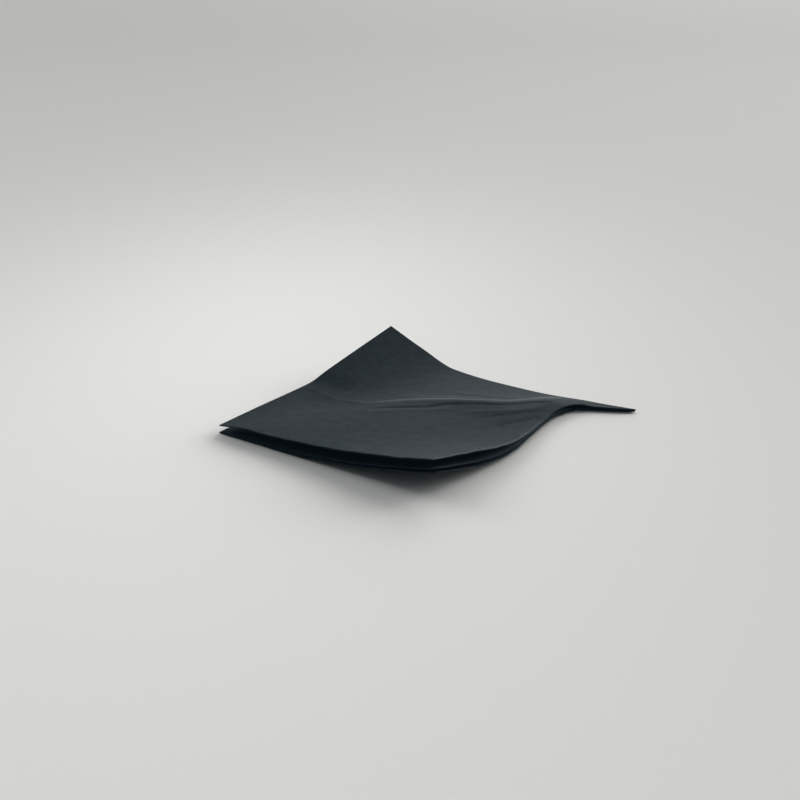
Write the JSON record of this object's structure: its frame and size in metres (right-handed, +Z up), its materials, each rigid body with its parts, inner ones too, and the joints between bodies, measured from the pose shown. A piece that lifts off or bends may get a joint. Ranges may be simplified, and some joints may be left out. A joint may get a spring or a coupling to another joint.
{
  "type": "paper napkin",
  "caption": "Square paper napkin folded in half twice, lying loosely with a raised back corner, a low crest towards its drawn-in right tip and parted open edges",
  "frame": {"origin": "on the table, under the middle of the folded napkin's outline", "axes": "+Z up from the table, +X to the right along the longer diagonal of the folded square, +Y to the back, where the two folds meet"},
  "size_m": [0.2369, 0.2135, 0.0245],
  "materials": {
    "napkin_paper": "matt black tissue paper"
  },
  "bodies": {
    "root": {"napkin": "napkin_paper"}
  },
  "joints": []
}
